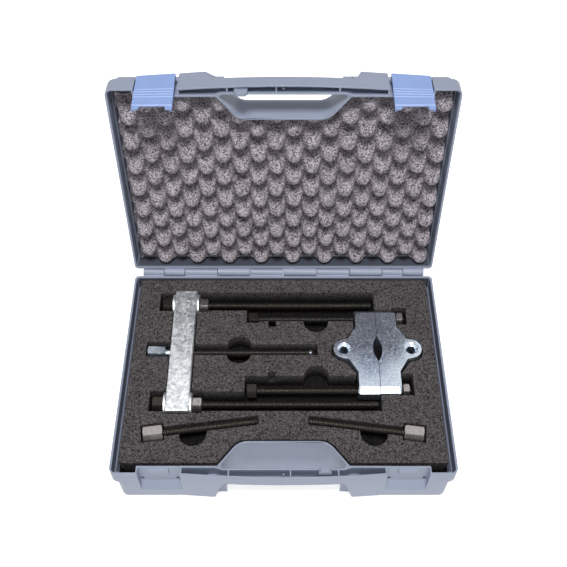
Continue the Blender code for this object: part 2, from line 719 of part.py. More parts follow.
def foam_piece(tray, name, plan):
    """The part of the die-cut layer inside a plan outline, as a piece of its own."""
    part = tray.copy()
    part.data = tray.data.copy()
    part.name = name
    bpy.context.scene.collection.objects.link(part)
    return boolean(part, prism(plan, TRAY_BOTTOM - 9, FOAM_TOP + 9), "INTERSECT")


def foam_layers(prefix):
    """The die-cut layer: the island that its pockets set free, two front blocks and the rest."""
    tray = foam_tray(prefix + "tray")
    rods = [BAR_Y_MID - ROD_SPACING / 2, BAR_Y_MID + ROD_SPACING / 2]
    middle = [(-120.0, rods[0]), (JAW_X_MID, rods[0]), (JAW_X_MID, rods[1]), (-120.0, rods[1])]
    seam, wide, deep = FIT / 2, CASE_HALF_W + 9, -CASE_HALF_D - 9
    front = FRONT_SEAM_Y - seam
    plans = {
        "island": middle,
        "front_left": [(-wide, deep), (-seam, deep), (-seam, front), (-wide, front)],
        "front_right": [(seam, deep), (wide, deep), (wide, front), (seam, front)],
    }
    parts = [foam_piece(tray, prefix + label, plan) for label, plan in plans.items()]
    rest = [(-wide, deep), (wide, deep), (wide, front + FIT), (-wide, front + FIT)]
    for plan in (middle, rest):
        cut(tray, prism(plan, TRAY_BOTTOM - 9, FOAM_TOP + 9))
    return [tray, *parts]


def headed_rod(name, x_head, x_shank, x_tip, y, across, radius, z=TOOL_AXIS_Z):
    """A rod along X with a hexagon head; the head may be at either end."""
    obj = rod_x(min(x_shank, x_tip) - 0.5, max(x_shank, x_tip), y, z, radius, 16, name, 1.0)
    return fuse(obj, hex_x(min(x_head, x_shank), max(x_head, x_shank), y, z, across))


def washer(name, x0, y):
    """A flat ring on a pull rod."""
    obj = rod_x(x0, x0 + WASHER_T, y, TOOL_AXIS_Z, WASHER_R, 28, name, 0.5)
    return cut(obj, rod_x(x0 - 2, x0 + WASHER_T + 2, y, TOOL_AXIS_Z, ROD_R + 0.45, 16))


def nut(name, x0, x1, y, bore):
    """A hexagon nut on a rod along X."""
    obj = hex_x(x0, x1, y, TOOL_AXIS_Z, NUT_AF, name)
    return cut(obj, rod_x(x0 - 2, x1 + 2, y, TOOL_AXIS_Z, bore, 16))


def short_screw(name, side):
    """A short screw with a long hexagon head, lying at an angle in its pocket."""
    head, tip, way = screw_frame(side)
    length = float(np.linalg.norm(tip - head))
    obj = rod_x(11.0, length, 0, 0, ROD_R, 16, name, 1.0)
    fuse(obj, hex_x(-11.8, 11.8, 0, 0, HEAD_AF, chamfer=1.4))
    turn = Matrix.Rotation(math.atan2(way[1], way[0]), 4, "Z")
    place = Matrix.Translation(Vector((*head, SCREW_Z)) * MM) @ turn
    return obj, place, (*head, SCREW_Z)


def build_case():
    """Both case halves, their hinge pins, the latches with their pins, and the foams."""
    plastic = material("case_plastic", (0.36, 0.39, 0.47), 0.0, 0.45)
    blue = material("latch_plastic", (0.22, 0.36, 0.72), 0.0, 0.4)
    steel = material("pin_steel", (0.12, 0.12, 0.13), 0.8, 0.4)
    charcoal = material("base_foam", (0.045, 0.042, 0.042), 0.0, 0.95)
    grey = material("lid_foam", (0.19, 0.17, 0.17), 0.0, 0.95)
    hinge = (0, HINGE_Y, HINGE_Z)
    base = shell("base_shell", BASE_H, BASE_INSET, (70.5, 83.5), BASE_WELL_DRAFT, False)
    finish(base, plastic, (0, 0, 0), base_matrix())
    lid = shell("lid_shell", LID_H, LID_INSET, (80.9, 90.3), 0.0, True)
    finish(lid, plastic, hinge, lid_matrix())
    finish(foam_floor("base_foam_floor"), charcoal, (0, 0, 0))
    for layer in foam_layers("base_foam_"):
        finish(layer, charcoal, (0, 0, 0))
    finish(egg_crate("lid_foam"), grey, hinge, lid_matrix())
    for label, x0, x1 in (("left", -187.5, -0.2), ("right", 0.2, 187.5)):
        finish(rod_x(x0, x1, HINGE_Y, HINGE_Z, HINGE_PIN_R, 12, "hinge_pin_" + label), steel, hinge)
    pivot = lid_point(0, *LATCH_PIVOT)
    for label, (x0, x1) in zip(("left", "right"), mirror_pair(LATCH_X)):
        finish(latch("latch_" + label, x0, x1), blue, pivot, lid_matrix())
    for label, (x0, x1) in zip(("left", "right"), mirror_pair(LATCH_PIN_X)):
        pin = rod_x(x0, x1, *LATCH_PIVOT, LATCH_PIN_R, 12, "latch_pin_" + label)
        finish(pin, steel, pivot, lid_matrix())


def build_puller():
    """The crossbar with its pull rods, washers, nuts, spindle and pressure pad."""
    zinc = material("zinc_plate", (0.62, 0.66, 0.72), 0.9, 0.35)
    white = material("washer_zinc", (0.8, 0.81, 0.83), 0.8, 0.3)
    black = material("black_oxide", (0.03, 0.027, 0.024), 0.6, 0.45)
    x0, x1 = BAR_X
    half = BAR_LEN / 2
    plan = fillet(rect((x1 - x0) / 2, -half, half), (2, 2, 2, 2), 3)
    plan = plan + np.array([(x0 + x1) / 2, BAR_Y_MID])
    z0, z1 = TOOL_AXIS_Z - BAR_THICK / 2, TOOL_AXIS_Z + BAR_THICK / 2
    levels = ((z0, -1.2), (z0 + 1.2, 0), (z1 - 1.2, 0), (z1, -1.2))
    bar = loft("crossbar", [at_z(grow(plan, g), z) for z, g in levels])
    ends = (("upper", BAR_Y_MID + ROD_SPACING / 2), ("lower", BAR_Y_MID - ROD_SPACING / 2))
    for _, y in ends:
        cut(bar, rod_x(x0 - 5, x1 + 5, y, TOOL_AXIS_Z, ROD_R + 0.45, 16))
    cut(bar, rod_x(x0 - 5, x1 + 5, BAR_Y_MID, TOOL_AXIS_Z, SPINDLE_R + FIT, 20))
    finish(bar, zinc, ((x0 + x1) / 2, BAR_Y_MID, TOOL_AXIS_Z))
    head_x = x0 - 2 * FIT - WASHER_T
    nut_x = x1 + 2 * FIT + WASHER_T
    for label, y in ends:
        here = ((x0 + x1) / 2, y, TOOL_AXIS_Z)
        rod = headed_rod("pull_rod_" + label, head_x - 13.6, head_x, 116.0, y, HEAD_AF, ROD_R)
        finish(rod, black, here)
        finish(washer("washer_" + label + "_head", x0 - FIT - WASHER_T, y), white, here)
        finish(washer("washer_" + label + "_nut", x1 + FIT, y), white, here)
        finish(nut("nut_" + label, nut_x, nut_x + 11.8, y, ROD_R + FIT), black, here)
    head_end, neck, spindle_tip = SPINDLE_X
    spindle = headed_rod("pressure_spindle", head_end, neck, spindle_tip, BAR_Y_MID, NUT_AF, SPINDLE_R)
    here = ((x0 + x1) / 2, BAR_Y_MID, TOOL_AXIS_Z)
    finish(spindle, black, here)
    rings = []
    for dx, r in ((0.3, 4.9), (3.0, 4.9), (4.6, 3.8), (5.6, 1.6)):
        ring = circle((BAR_Y_MID, TOOL_AXIS_Z), r, 16)
        rings.append(np.column_stack([np.full(16, spindle_tip + dx), ring]))
    finish(loft("pressure_pad", rings), white, here)


def build_separator():
    """The two separator halves on their tie bolts."""
    zinc = material("forged_zinc", (0.6, 0.64, 0.71), 0.9, 0.35)
    black = material("tie_black", (0.032, 0.028, 0.024), 0.6, 0.45)
    for name, side in (("separator_jaw_left", -1), ("separator_jaw_right", 1)):
        finish(jaw(name, side), zinc, (JAW_X_MID, JAW_Y_MID, JAW_Z[1]))
    for label, dy in (("upper", TIE_OFFSET), ("lower", -TIE_OFFSET)):
        y = JAW_Y_MID + dy
        here = (JAW_X_MID, y, TOOL_AXIS_Z)
        finish(headed_rod("tie_bolt_" + label, -45.5, -33.0, 157.5, y, NUT_AF, ROD_R), black, here)
        finish(nut("tie_nut_" + label, 147.4, 155.6, y, ROD_R + FIT), black, here)


def build_screws():
    """The two short hexagon-head screws in front."""
    dark = material("screw_black", (0.06, 0.055, 0.052), 0.6, 0.42)
    for label, side in (("left", -1), ("right", 1)):
        obj, place, here = short_screw("short_screw_" + label, -side)
        finish(obj, dark, here, place)


build_case()
build_puller()
build_separator()
build_screws()
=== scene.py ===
"""Dressed view of a ball joint separator set in its open carry case.

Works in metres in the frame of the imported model: X to the right, Y from the handle to
the hinge, Z up, with the origin under the middle of the case. Rods, nuts, washers and
the lid foam are surfaces computed on grids; the moulded and forged pieces are the
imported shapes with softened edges.
"""
import json
import math

import bmesh
import bpy
import numpy as np
from bpy.props import (
    FloatProperty,
    FloatVectorProperty,
    IntProperty,
    PointerProperty,
)
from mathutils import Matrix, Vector


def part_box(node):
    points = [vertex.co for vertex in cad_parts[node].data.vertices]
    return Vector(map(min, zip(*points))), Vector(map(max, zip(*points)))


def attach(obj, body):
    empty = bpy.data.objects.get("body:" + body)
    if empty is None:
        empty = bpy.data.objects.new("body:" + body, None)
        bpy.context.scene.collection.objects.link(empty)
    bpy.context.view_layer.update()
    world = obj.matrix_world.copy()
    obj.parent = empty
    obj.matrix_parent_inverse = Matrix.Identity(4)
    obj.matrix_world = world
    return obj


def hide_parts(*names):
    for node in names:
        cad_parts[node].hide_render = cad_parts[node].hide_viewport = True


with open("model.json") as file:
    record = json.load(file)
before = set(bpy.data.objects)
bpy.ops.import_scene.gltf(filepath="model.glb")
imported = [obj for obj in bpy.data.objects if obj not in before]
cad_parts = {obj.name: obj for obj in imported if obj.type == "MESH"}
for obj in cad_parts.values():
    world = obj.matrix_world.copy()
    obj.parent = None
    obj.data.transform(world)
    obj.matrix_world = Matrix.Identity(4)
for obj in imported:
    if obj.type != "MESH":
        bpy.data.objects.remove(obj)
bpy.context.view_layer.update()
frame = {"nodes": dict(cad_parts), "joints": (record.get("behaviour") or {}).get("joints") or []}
JOINTS = {joint["name"]: joint for joint in frame["joints"]}
HINGE = np.array(JOINTS["lid_hinge"]["pos_m"])
LID_SWING = math.radians(JOINTS["lid_hinge"]["range_deg"][0])

bl_info = {
    "name": "Separator Set Dresser",
    "version": (1, 0, 0),
    "blender": (4, 5, 0),
    "location": "View3D > Sidebar > Separator Set",
    "description": "Dresses the packed separator set with surfaces and materials",
    "category": "Object",
}

MM = 0.001
RIM_PLANE = 0.0664
AXIS_Z = 0.052
SEAM_REACH = 0.0004
WELD = 0.000002
SINK = 0.0004
SOFT_ROUNDS = 2
SOFT_ANGLE = 30
FOAM_EDGE = 0.0008
BAR_EDGE = 0.0008
JAW_EDGE = 0.0011

# Hardware
ROD_RADIUS = 0.005
SPINDLE_RADIUS = 0.006
NECK_RADIUS = 0.0056
NECK_LENGTH = 0.006
LARGE_HEXAGON = 0.019
SMALL_HEXAGON = 0.017
PULL_ROD_HEAD = 0.0136
TIE_BOLT_HEAD = 0.0125
SPINDLE_HEAD = 0.0229
NUT_BORE = 0.0053
WASHER_RADIUS = 0.015
WASHER_BORE = 0.00545
SCREW_HEAD = (0.1548, -0.087)
SCREW_TIP = (0.032, -0.0707)
SCREW_Z = 0.057
SCREW_HEAD_HALF = 0.0118
PAD_PROFILE = (
    (0.0, 0.0044), (0.0004, 0.0049), (0.0027, 0.0049), (0.0036, 0.0045),
    (0.0043, 0.0037), (0.0049, 0.0026), (0.0053, 0.0012),
)
PIN_COLOUR = (0.1, 0.1, 0.105)

# Foam outlines and depths
FOAM_SEAMS = ((1, -0.05), (0, 0.0))
LID_FOAM_SIDE = 0.1921
LID_FOAM_BACK = 0.1334
LID_FOAM_REACH = 0.262
TAB_EDGE = (0.1701, 0.1715)
BLUNT = 1.5
LOOSE_SWING = 0.0007
PEAK_GAP = 0.0002
# Depths over which the painted shade deepens in the base foam's pockets, and how far under the lid
# foam's bump tops it starts
POCKET_SHADE_DEPTHS = (0.007, 0.026)
CROWN_SHADE_DEPTH = 0.004

# Painted shade inside the case: each pair is where it starts and where it is full
RIM_FADE = (0.0006, 0.004)
FACING_FADE = (0.3, 0.6)
SIDE_FADE = (0.1965, 0.1955)
FRONT_FADE = (-0.1295, -0.1285)
BACK_FADE = (0.1405, 0.1395)
WELL_SIDE_FADE = (0.082, 0.084)
WELL_BACK_FADE = (-0.099, -0.097)

# Stage
KEY_AT = (0.0, -0.85, 3.4)
KEY_AIM = (0.0, 0.05, 0.05)
FRONT_AT = (0.0, -2.6, 1.5)
FRONT_AIM = (0.0, 0.0, 0.1)
LAMP_SIZE = 1.0
FLOOR_HALF = 6.0
FLOOR_GLOW = 0.55


def colour(name, description, default):
    """A colour property."""
    return FloatVectorProperty(
        name=name, description=description, default=default, size=3,
        min=0.0, max=1.0, subtype="COLOR",
    )


def length(name, description, default):
    """A length property in metres."""
    return FloatProperty(
        name=name, description=description, default=default, unit="LENGTH", precision=5,
    )


def factor(name, description, default):
    """A plain factor from nothing to one."""
    return FloatProperty(
        name=name, description=description, default=default, min=0.0, max=1.0,
        subtype="FACTOR",
    )


class CaseLooks(bpy.types.PropertyGroup):
    """Finish of the moulded case, with painted shade on its inner walls."""

    shell_colour: colour("Shell colour", "Blue-grey moulded plastic", (0.26, 0.295, 0.39))
    shell_rough: factor("Shell roughness", "Roughness of the moulded plastic", 0.42)
    latch_colour: colour("Latch colour", "Light blue latch plastic", (0.235, 0.335, 0.615))
    latch_rough: factor("Latch roughness", "Roughness of the latch plastic", 0.38)
    # Painted shade on the inner walls of the case: the share of their colour that is left
    painted_wall_shade: factor("Inner shade", "Share of the colour left on the inner walls", 0.24)
    edge: length("Edge radius", "Softening of the moulded edges", 0.0005)


class FoamLooks(bpy.types.PropertyGroup):
    """Shape and finish of the two foams, and the painted shade in their pockets and hollows."""

    base_colour: colour("Base foam", "Charcoal fitted foam", (0.072, 0.065, 0.067))
    lid_colour: colour("Lid foam", "Grey egg-crate foam", (0.3, 0.272, 0.298))
    # Painted shade: the share of the foam colour left deep in the base pockets and in the lid foam's
    # hollows
    painted_pocket_shade: factor("Pocket shade", "Share of the colour left deep in the pockets", 0.12)
    painted_hollow_shade: factor("Hollow shade", "Share of the colour left in the lid foam's hollows", 0.58)
    cell: length("Cell size", "Width of one visible foam cell", 0.00125)
    pitch_x: length("Bump pitch across", "Distance between bumps across the lid", 0.04275)
    pitch_y: length("Bump pitch along", "Distance between bumps along the lid", 0.03525)
    bump_x: length("Bump across", "Middle of one bump across the lid", 0.0128)
    bump_y: length("Bump along", "Middle of one bump along the lid", 0.1269)
    peak: length("Peak depth", "Depth of the bump tops under the lid rim", 0.0026)
    valley: length("Valley depth", "Depth of the hollows under the lid rim", 0.0234)
    sag: factor("Sag", "Share of a bump's height by which it leans down", 0.48)
    back: length("Back depth", "Depth of the flat back of the lid foam", 0.035)
    step: length("Grid step", "Spacing of the lid foam's grid", 0.0025)


class ToolLooks(bpy.types.PropertyGroup):
    """Threads and finishes of the steel pieces."""

    bar_colour: colour("Bar zinc", "Zinc plated crossbar", (0.8, 0.83, 0.88))
    jaw_colour: colour("Jaw zinc", "Zinc plated separator halves", (0.66, 0.74, 0.84))
    washer_colour: colour("Bright zinc", "Bright washers", (0.82, 0.83, 0.85))
    black_colour: colour("Black oxide", "Blackened rods and bolts", (0.036, 0.032, 0.028))
    screw_colour: colour("Dark steel", "Dark screws and nuts", (0.36, 0.335, 0.33))
    spangle: length("Spangle", "Width of one zinc flake", 0.0034)
    rod_pitch: length("Rod pitch", "Thread pitch of rods and bolts", 0.003)
    spindle_pitch: length("Spindle pitch", "Thread pitch of the spindle", 0.00175)
    thread_depth: length("Thread depth", "Greatest depth of a thread", 0.0013)
    around: IntProperty(name="Sides", description="Points round a thread", default=24)
    per_turn: IntProperty(name="Rows", description="Rows in one turn of thread", default=10)


class StageLooks(bpy.types.PropertyGroup):
    """Camera, floor and lights."""

    camera_y: length("Camera Y", "Camera position along Y", -0.5405)
    camera_z: length("Camera height", "Camera position along Z", 0.9616)
    pitch: FloatProperty(
        name="Camera tilt", description="Camera turn about X from straight down",
        default=math.radians(38.42), subtype="ANGLE",
    )
    lens: FloatProperty(name="Lens", description="Focal length in mm", default=52.94)
    shift: FloatProperty(name="Shift", description="Vertical lens shift", default=-0.0417)
    world: FloatProperty(name="World light", description="Strength of the even light", default=0.2)
    key: FloatProperty(name="Key light", description="Power of the large light above", default=102.0)
    fill: FloatProperty(name="Fill light", description="Power of the low front light", default=12.5)
    floor_colour: colour("Floor", "Pale floor", (0.9, 0.9, 0.9))


def props():
    """The property groups of the current scene."""
    return bpy.context.scene.separator_set


# Mesh helpers

def grid_quads(rows, cols, wrap_rows=False, wrap_cols=True):
    """Quads of a rows by cols grid, as index rows; either direction may close on itself."""
    r = np.arange(rows if wrap_rows else rows - 1)
    c = np.arange(cols if wrap_cols else cols - 1)
    a, b = np.meshgrid(r, c, indexing="ij")
    up, side = (a + 1) % rows, (b + 1) % cols
    quads = np.stack([a * cols + b, a * cols + side, up * cols + side, up * cols + b], axis=-1)
    return quads.reshape(-1, 4)


def capped_tube(points):
    """A (rows, cols, 3) tube along +X, closed at both ends by fans to the ends' middles."""
    rows, cols = points.shape[:2]
    verts = np.vstack([points.reshape(-1, 3), points[0].mean(0), points[-1].mean(0)])
    c = np.arange(cols)
    nxt = (c + 1) % cols
    first, last = rows * cols, rows * cols + 1
    start = np.column_stack([np.full(cols, first), nxt, c])
    end = np.column_stack([np.full(cols, last), (rows - 1) * cols + c, (rows - 1) * cols + nxt])
    return verts, grid_quads(rows, cols).tolist() + start.tolist() + end.tolist()


def ring_tube(points):
    """A (rows, cols, 3) tube whose profile closes on itself, as a ring or nut."""
    rows, cols = points.shape[:2]
    return points.reshape(-1, 3), grid_quads(rows, cols, wrap_rows=True).tolist()


def stack(parts):
    """Joins (vertices, faces) pairs into one."""
    verts, faces, offset = [], [], 0
    for part_verts, part_faces in parts:
        verts.append(part_verts)
        faces += [[i + offset for i in face] for face in part_faces]
        offset += len(part_verts)
    return np.vstack(verts), faces


def around_x(x, radius, angle, y=0.0, z=0.0):
    """Points at distance radius from a line along X; x and radius broadcast to a grid."""
    x, radius, angle = np.broadcast_arrays(x, radius, angle)
    return np.stack([x, y + radius * np.cos(angle), z + radius * np.sin(angle)], axis=-1)


def thread(x0, x1, radius, pitch, y=0.0, z=0.0):
    """A right-hand thread on a rod along X.

    The radius falls from the crest by the thread depth times a blunted triangle wave of
    x over pitch less the angle over a full turn; both ends taper over half a pitch.
    """
    tools = props().tools
    rows = int(round((x1 - x0) / pitch * tools.per_turn)) + 1
    x = np.linspace(x0, x1, rows)[:, None]
    angle = np.linspace(0, 2 * math.pi, tools.around, endpoint=False)[None, :]
    wave = np.abs(2 * np.mod(x / pitch - angle / (2 * math.pi), 1.0) - 1)
    deep = min(0.6 * pitch, tools.thread_depth)
    depth = deep * np.clip(1.6 * wave - 0.3, 0, 1)
    inset = np.clip(1.0 - np.minimum(x - x0, x1 - x) / (0.5 * pitch), 0, 1)
    crest = radius - deep * inset
    return capped_tube(around_x(x, np.minimum(radius - depth, crest), angle, y, z))


def hexagon(angle, across):
    """Distance from the middle to the side of a hexagon with a corner pointing up."""
    turn = np.mod(angle, math.pi / 3) - math.pi / 6
    return across / 2 / np.cos(turn)


def hex_profile(x0, x1, across):
    """Rows of a chamfered hexagon: (x, cone radius) pairs from one end to the other."""
    face = across / 2 * 0.94
    cone = np.array([0.0, 0.3, 0.6, 0.9, 1.2]) * MM
    x = np.concatenate([x0 + cone, x1 - cone[::-1]])
    radius = face + 1.73 * np.concatenate([cone, cone[::-1]])
    return x[:, None], radius[:, None]


def hex_block(x0, x1, across, y=0.0, z=0.0, bore=None, count=72):
    """A hexagon head, or a nut if it has a bore.

    Each row's outline is the smaller of the hexagon and a cone's circle, which cuts the
    corners in the arcs of a turned chamfer; a nut's profile returns along its bore.
    """
    angle = np.linspace(0, 2 * math.pi, count, endpoint=False)[None, :]
    x, cone = hex_profile(x0, x1, across)
    radius = np.minimum(hexagon(angle, across), cone)
    if bore is None:
        return capped_tube(around_x(x, radius, angle, y, z))
    inner_x = np.array([x1, x1 - bore * 0.12, x0 + bore * 0.12, x0])[:, None]
    inner = np.array([bore * 1.12, bore, bore, bore * 1.12])[:, None] + 0 * angle
    rows = np.vstack([around_x(x, radius, angle, y, z), around_x(inner_x, inner, angle, y, z)])
    return ring_tube(rows)


def washer_ring(x0, x1, outer, bore, y, z, count=64, soft=0.0005):
    """A flat ring: a rectangle with rounded corners carried round the rod's axis."""
    bend = np.radians([90, 60, 30, 0])
    corners = (
        (x0 + soft, outer - soft, bend + math.pi / 2),
        (x1 - soft, outer - soft, bend),
        (x1 - soft, bore + soft, bend - math.pi / 2),
        (x0 + soft, bore + soft, bend - math.pi),
    )
    x = np.concatenate([cx + soft * np.cos(t) for cx, _, t in corners])[:, None]
    radius = np.concatenate([cr + soft * np.sin(t) for _, cr, t in corners])[:, None]
    angle = np.linspace(0, 2 * math.pi, count, endpoint=False)[None, :]
    return ring_tube(around_x(x, radius, angle, y, z))


def lathe(profile, y, z, count=32):
    """A turned piece along X from (x, radius) pairs, closed at both ends."""
    profile = np.asarray(profile, float)
    angle = np.linspace(0, 2 * math.pi, count, endpoint=False)[None, :]
    return capped_tube(around_x(profile[:, :1], profile[:, 1:], angle, y, z))


def lid_place(points):
    """Takes points drawn on a lid lying mouth down at z = 0 to the open lid.

    The points are raised to the rim plane and turned about the hinge line.
    """
    rel = points + np.array([0, 0, RIM_PLANE]) - HINGE
    cos, sin = math.cos(LID_SWING), math.sin(LID_SWING)
    turned = np.stack([rel[..., 0], rel[..., 1] * cos - rel[..., 2] * sin,
                       rel[..., 1] * sin + rel[..., 2] * cos], axis=-1)
    return turned + HINGE


def lid_drawn(points):
    """The reverse of lid_place: from the open lid back to a lid lying mouth down."""
    rel = points - HINGE
    cos, sin = math.cos(LID_SWING), math.sin(LID_SWING)
    turned = np.stack([rel[..., 0], rel[..., 1] * cos + rel[..., 2] * sin,
                       rel[..., 2] * cos - rel[..., 1] * sin], axis=-1)
    return turned + HINGE - np.array([0, 0, RIM_PLANE])


def smooth_shade(mesh, angle):
    """Smooth shading with edges sharper than angle kept crisp."""
    mesh.polygons.foreach_set("use_smooth", np.ones(len(mesh.polygons), bool))
    mesh.set_sharp_from_angle(angle=math.radians(angle))
    mesh.update()


def place(obj, material, body, nodes):
    """Gives a piece its material, body, replaced nodes and material slot."""
    obj.data.materials.clear()
    obj.data.materials.append(material)
    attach(obj, body)
    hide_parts(*nodes)
    return obj


def piece(name, shape, material, body, nodes, angle=32):
    """A new object from (vertices, faces)."""
    verts, faces = shape
    mesh = bpy.data.meshes.new(name)
    mesh.from_pydata(verts.tolist(), [], faces)
    mesh.validate()
    smooth_shade(mesh, angle)
    obj = bpy.data.objects.new(name, mesh)
    bpy.context.scene.collection.objects.link(obj)
    return place(obj, material, body, nodes)


def merged_part(node, seams):
    """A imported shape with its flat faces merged, then cut where a seam's plane crosses it."""
    bm = bmesh.new()
    bm.from_mesh(frame["nodes"][node].data)
    bmesh.ops.dissolve_limit(bm, angle_limit=math.radians(0.5), verts=bm.verts, edges=bm.edges)
    for axis, value in seams:
        way = Vector([float(axis == i) for i in range(3)])
        parts = bm.verts[:] + bm.edges[:] + bm.faces[:]
        bmesh.ops.bisect_plane(bm, geom=parts, plane_co=way * value, plane_no=way, dist=SEAM_REACH)
    mesh = bpy.data.meshes.new(node)
    bm.to_mesh(mesh)
    bm.free()
    return mesh


def packed_mesh(name, nodes, seams=()):
    """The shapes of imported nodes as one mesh.

    Each seam is an (axis, value) plane: the narrow gap there is closed, and the faces
    that met in it are taken out, so that neighbouring pieces become one skin.
    """
    bm = bmesh.new()
    for node in nodes:
        part = merged_part(node, seams)
        bm.from_mesh(part)
        bpy.data.meshes.remove(part)
    for axis, value in seams:
        for vert in bm.verts:
            if abs(vert.co[axis] - value) < SEAM_REACH:
                vert.co[axis] = value
        inner = [f for f in bm.faces if all(abs(v.co[axis] - value) < 1e-6 for v in f.verts)]
        bmesh.ops.delete(bm, geom=inner, context="FACES_ONLY")
    bmesh.ops.remove_doubles(bm, verts=bm.verts, dist=0.00001)
    mesh = bpy.data.meshes.new(name)
    bm.to_mesh(mesh)
    bm.free()
    mesh.polygons.foreach_set("use_smooth", np.ones(len(mesh.polygons), bool))
    return mesh


def apply_modifiers(obj):
    """Replaces an object's mesh with the result of its modifiers."""
    graph = bpy.context.evaluated_depsgraph_get()
    graph.update()
    made = bpy.data.meshes.new_from_object(obj.evaluated_get(graph))
    obj.modifiers.clear()
    obj.data = made
    made.name = obj.name


def close_mesh(mesh):
    """Welds points that meet and fills the pinholes that rounding leaves at some corners."""
    bm = bmesh.new()
    bm.from_mesh(mesh)
    bmesh.ops.remove_doubles(bm, verts=bm.verts, dist=WELD)
    bmesh.ops.dissolve_degenerate(bm, edges=bm.edges, dist=WELD)
    bmesh.ops.holes_fill(bm, edges=[e for e in bm.edges if e.is_boundary], sides=8)
    for face in bm.faces:
        face.smooth = True
    bm.to_mesh(mesh)
    bm.free()


def softened(name, nodes, material, body, width, seams=(), clamp=True):
    """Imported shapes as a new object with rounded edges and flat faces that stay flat."""
    obj = bpy.data.objects.new(name, packed_mesh(name, nodes, seams))
    bpy.context.scene.collection.objects.link(obj)
    bevel = obj.modifiers.new("soft edges", "BEVEL")
    bevel.width = width
    bevel.segments = SOFT_ROUNDS
    bevel.limit_method = "ANGLE"
    bevel.angle_limit = math.radians(SOFT_ANGLE)
    bevel.use_clamp_overlap = clamp
    apply_modifiers(obj)
    close_mesh(obj.data)
    level = obj.modifiers.new("flat faces", "WEIGHTED_NORMAL")
    level.weight = 100
    apply_modifiers(obj)
    return place(obj, material, body, nodes)


# Shader helpers

def add_node(tree, kind, inputs=None, **settings):
    """A shader node with its settings and socket values."""
    made = tree.nodes.new(kind)
    for key, value in settings.items():
        setattr(made, key, value)
    for key, value in (inputs or {}).items():
        made.inputs[key].default_value = value
    return made


def math_node(tree, operation, first, second):
    """A Math node on two sockets or numbers."""
    made = add_node(tree, "ShaderNodeMath", operation=operation)
    for socket, value in zip(made.inputs, (first, second)):
        if isinstance(value, (int, float)):
            socket.default_value = value
        else:
            tree.links.new(value, socket)
    return made.outputs[0]


def ramp(tree, value, low, high):
    """Maps a value from (low, high) to nothing and one, clamped."""
    made = add_node(tree, "ShaderNodeMapRange", {"From Min": low, "From Max": high})
    tree.links.new(value, made.inputs["Value"])
    return made.outputs["Result"]


def weighted(tree, first, share, second, rest):
    """Two sockets added, each times its own share."""
    one = math_node(tree, "MULTIPLY", first, share)
    other = math_node(tree, "MULTIPLY", second, rest)
    return math_node(tree, "ADD", one, other)


def seen_directly(tree):
    """One for camera, glossy and transmission rays, nothing for diffuse light."""
    rays = tree.nodes.new("ShaderNodeLightPath")
    seen = math_node(tree, "MAXIMUM", rays.outputs["Is Camera Ray"], rays.outputs["Is Glossy Ray"])
    return math_node(tree, "MAXIMUM", seen, rays.outputs["Is Transmission Ray"])


def new_group(name, inputs, outputs):
    """An empty shader group with named sockets; returns it with its inner ends."""
    tree = bpy.data.node_groups.new(name, "ShaderNodeTree")
    for label, kind, default in inputs:
        socket = tree.interface.new_socket(label, in_out="INPUT", socket_type=kind)
        if default is not None:
            socket.default_value = default
    for label, kind in outputs:
        tree.interface.new_socket(label, in_out="OUTPUT", socket_type=kind)
    return tree, tree.nodes.new("NodeGroupInput"), tree.nodes.new("NodeGroupOutput")


def group_foam_cells():
    """Open foam cells: one shade per cell with a slow mottling, and pores for the height."""
    if "Foam cells" in bpy.data.node_groups:
        return bpy.data.node_groups["Foam cells"]
    tree, inner, outer = new_group(
        "Foam cells",
        [("Vector", "NodeSocketVector", None), ("Density", "NodeSocketFloat", 600.0)],
        [("Shade", "NodeSocketFloat"), ("Height", "NodeSocketFloat")],
    )
    links = tree.links
    pore = add_node(tree, "ShaderNodeTexVoronoi", feature="F1")
    links.new(inner.outputs["Vector"], pore.inputs["Vector"])
    links.new(inner.outputs["Density"], pore.inputs["Scale"])
    fine = add_node(tree, "ShaderNodeTexNoise", {"Detail": 4.0, "Roughness": 0.7})
    links.new(inner.outputs["Vector"], fine.inputs["Vector"])
    links.new(inner.outputs["Density"], fine.inputs["Scale"])
    slow = add_node(tree, "ShaderNodeTexNoise", {"Scale": 45.0, "Detail": 3.0})
    links.new(inner.outputs["Vector"], slow.inputs["Vector"])
    pick = add_node(tree, "ShaderNodeSeparateColor")
    links.new(pore.outputs["Color"], pick.inputs["Color"])
    pores = ramp(tree, pore.outputs["Distance"], 0.05, 0.75)
    grain = ramp(tree, fine.outputs["Fac"], 0.3, 0.72)
    mottle = ramp(tree, slow.outputs["Fac"], 0.3, 0.7)
    links.new(weighted(tree, pick.outputs[0], 0.94, mottle, 0.06), outer.inputs["Shade"])
    links.new(weighted(tree, pores, 0.6, grain, 0.4), outer.inputs["Height"])
    return tree


